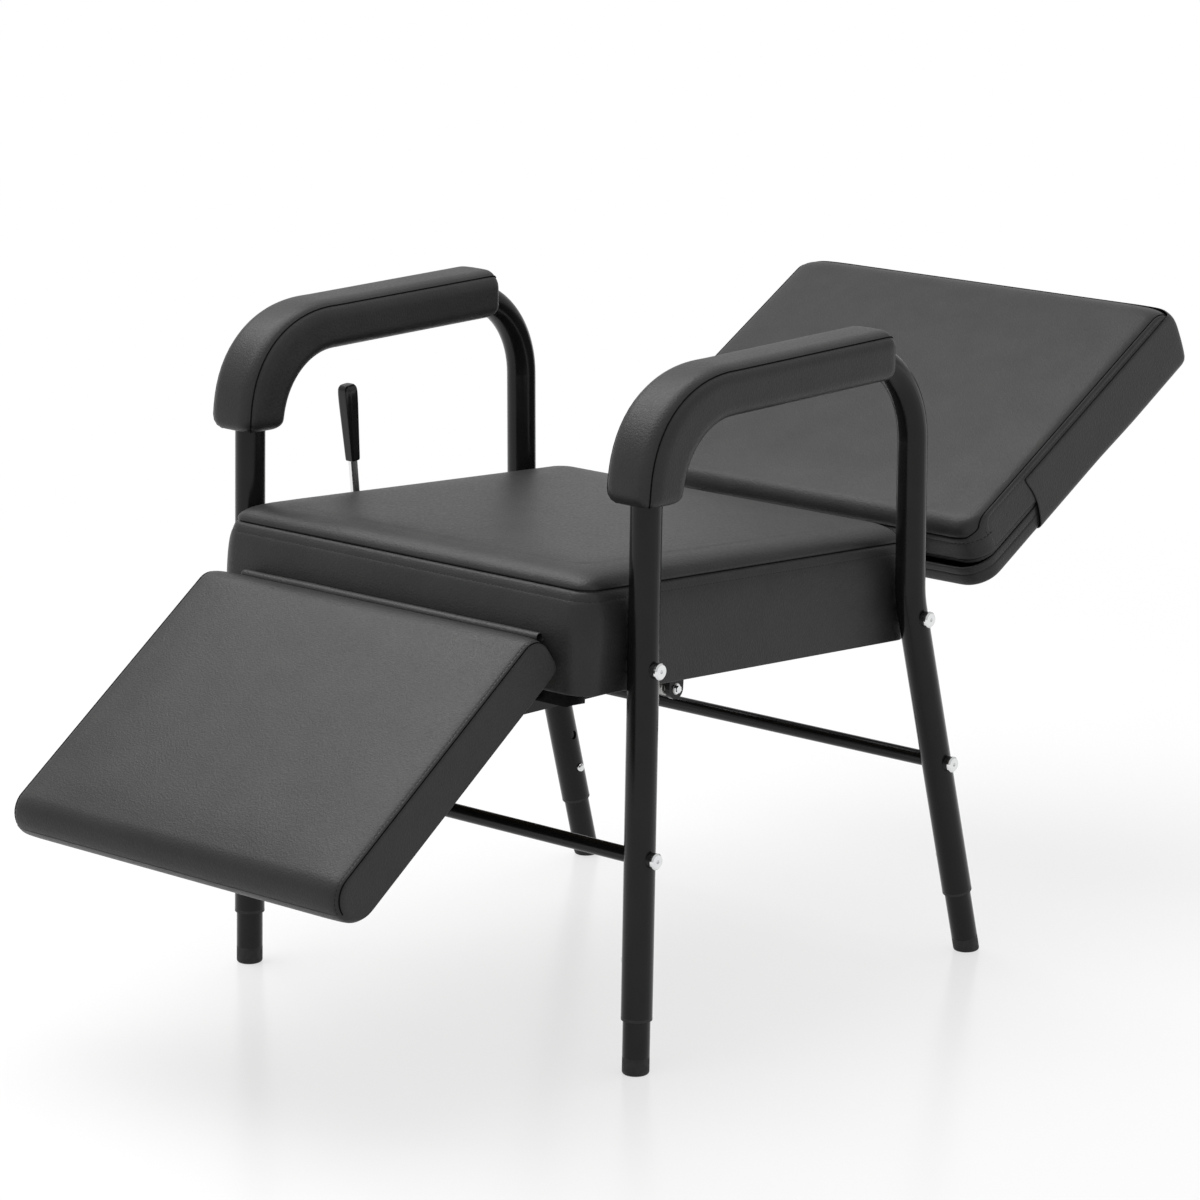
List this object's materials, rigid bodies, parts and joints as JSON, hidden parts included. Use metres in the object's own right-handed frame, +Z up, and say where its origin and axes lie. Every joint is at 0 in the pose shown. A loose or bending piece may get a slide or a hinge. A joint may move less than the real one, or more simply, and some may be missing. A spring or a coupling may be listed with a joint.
{
  "type": "shampoo chair",
  "caption": "Black upholstered shampoo chair on a bent-tube frame, with a reclining back, a legrest that lifts with it, padded arms, a release lever and telescoping legs.",
  "frame": {"origin": "on the floor, under the middle of the chair's outline", "axes": "+X towards the sitter's left, +Y towards the backrest, +Z up"},
  "size_m": [0.616, 1.341, 0.714],
  "materials": {
    "black_leather": "fine grain, satin",
    "black_paint": "satin gloss",
    "chrome": "polished",
    "steel": "zinc plated",
    "wood": "raw plywood",
    "black_plastic": "moulded",
    "grip_plastic": "gloss",
    "foot_rubber": "matt"
  },
  "bodies": {
    "chair_frame": {"side_frame_left": "black_paint", "side_frame_right": "black_paint", "front_crossbar": "black_paint", "rear_crossbar": "black_paint", "leg_bushes": "black_plastic", "frame_bolts": "chrome", "saddle_washers": "black_plastic", "seat_spacers": "black_plastic", "crossbar_inserts": "steel", "armrest_pad_left": "black_leather", "armrest_pad_right": "black_leather", "seat_frame": "black_paint", "seat_board": "wood", "seat_cushion": "black_leather", "hinge_rail": "black_paint", "legrest_hinge_pin": "steel", "back_brackets": "black_paint", "pivot_bolts": "steel", "gas_anchor": "black_paint", "release_head": "steel", "gas_rod": "steel", "shaft_hangers": "black_paint", "return_spring": "steel"},
    "backrest": {"back_cushion": "black_leather", "back_board": "wood", "back_cover": "black_leather", "back_screws": "steel", "back_arms": "black_paint", "pivot_tube": "black_paint", "pivot_bushes": "black_plastic", "pivot_cranks": "black_paint", "crank_pins": "steel"},
    "legrest": {"legrest_cushion": "black_leather", "legrest_board": "wood", "legrest_plate": "black_paint", "legrest_screws": "steel", "lug_pins": "steel", "legrest_roll": "black_leather"},
    "link_left": {"link_left": "black_paint"},
    "link_right": {"link_right": "black_paint"},
    "gas_cylinder": {"gas_cylinder": "black_paint", "gas_clevis": "steel"},
    "lever": {"lever_shaft": "steel", "lever_rod": "chrome", "lever_grip": "grip_plastic", "release_finger": "black_paint", "shaft_bolt": "chrome"},
    "leg_front_left": {"inner_leg_front_left": "black_paint", "foot_front_left": "foot_rubber"},
    "button_front_left": {"snap_button_front_left": "chrome"},
    "leg_front_right": {"inner_leg_front_right": "black_paint", "foot_front_right": "foot_rubber"},
    "button_front_right": {"snap_button_front_right": "chrome"},
    "leg_rear_left": {"inner_leg_rear_left": "black_paint", "foot_rear_left": "foot_rubber"},
    "button_rear_left": {"snap_button_rear_left": "chrome"},
    "leg_rear_right": {"inner_leg_rear_right": "black_paint", "foot_rear_right": "foot_rubber"},
    "button_rear_right": {"snap_button_rear_right": "chrome"}
  },
  "joints": [
    {"name": "back_recline", "type": "hinge", "parent": "chair_frame", "child": "backrest", "pos_m": [0, 0.207, 0.4], "axis": [1, 0, 0], "range_deg": [0, 55]},
    {"name": "legrest_lift", "type": "hinge", "parent": "chair_frame", "child": "legrest", "pos_m": [0, -0.3539, 0.4143], "axis": [1, 0, 0], "range_deg": [0, 55]},
    {"name": "link_left_swing", "type": "hinge", "parent": "backrest", "child": "link_left", "pos_m": [0, 0.16544, 0.32017], "axis": [1, 0, 0], "range_deg": [-55, 0]},
    {"name": "link_right_swing", "type": "hinge", "parent": "backrest", "child": "link_right", "pos_m": [0, 0.16544, 0.32017], "axis": [1, 0, 0], "range_deg": [-55, 0]},
    {"name": "gas_stroke", "type": "slide", "parent": "chair_frame", "child": "gas_cylinder", "axis": [0, 1, 0], "range_m": [0, 0.0556]},
    {"name": "release_lever", "type": "hinge", "parent": "chair_frame", "child": "lever", "pos_m": [0, -0.109, 0.3464], "axis": [1, 0, 0], "range_deg": [0, 15], "stiffness_Nm_per_rad": 3, "springref_deg": -11.46},
    {"name": "leg_front_left_slide", "type": "slide", "parent": "chair_frame", "child": "leg_front_left", "axis": [0, 0.0253, 0.9997], "range_m": [0, 0.042], "deforming": ["snap_button_front_left"]},
    {"name": "button_front_left_press", "type": "slide", "parent": "leg_front_left", "child": "button_front_left", "axis": [-1, 0, 0], "range_m": [0, 0.006], "stiffness_N_per_m": 1500, "springref_m": -0.004},
    {"name": "leg_front_right_slide", "type": "slide", "parent": "chair_frame", "child": "leg_front_right", "axis": [0, 0.0253, 0.9997], "range_m": [0, 0.042], "deforming": ["snap_button_front_right"]},
    {"name": "button_front_right_press", "type": "slide", "parent": "leg_front_right", "child": "button_front_right", "axis": [1, 0, 0], "range_m": [0, 0.006], "stiffness_N_per_m": 1500, "springref_m": -0.004},
    {"name": "leg_rear_left_slide", "type": "slide", "parent": "chair_frame", "child": "leg_rear_left", "axis": [0, -0.2558, 0.9667], "range_m": [0, 0.042], "deforming": ["snap_button_rear_left"]},
    {"name": "button_rear_left_press", "type": "slide", "parent": "leg_rear_left", "child": "button_rear_left", "axis": [-1, 0, 0], "range_m": [0, 0.006], "stiffness_N_per_m": 1500, "springref_m": -0.004},
    {"name": "leg_rear_right_slide", "type": "slide", "parent": "chair_frame", "child": "leg_rear_right", "axis": [0, -0.2558, 0.9667], "range_m": [0, 0.042], "deforming": ["snap_button_rear_right"]},
    {"name": "button_rear_right_press", "type": "slide", "parent": "leg_rear_right", "child": "button_rear_right", "axis": [1, 0, 0], "range_m": [0, 0.006], "stiffness_N_per_m": 1500, "springref_m": -0.004}
  ],
  "couplings": [
    {"joint": "legrest_lift", "follows": "back_recline", "ratio": 1},
    {"joint": "link_left_swing", "follows": "back_recline", "ratio": -1},
    {"joint": "link_right_swing", "follows": "back_recline", "ratio": -1},
    {"joint": "gas_stroke", "follows": "back_recline", "m_per_rad": 0.057723}
  ]
}
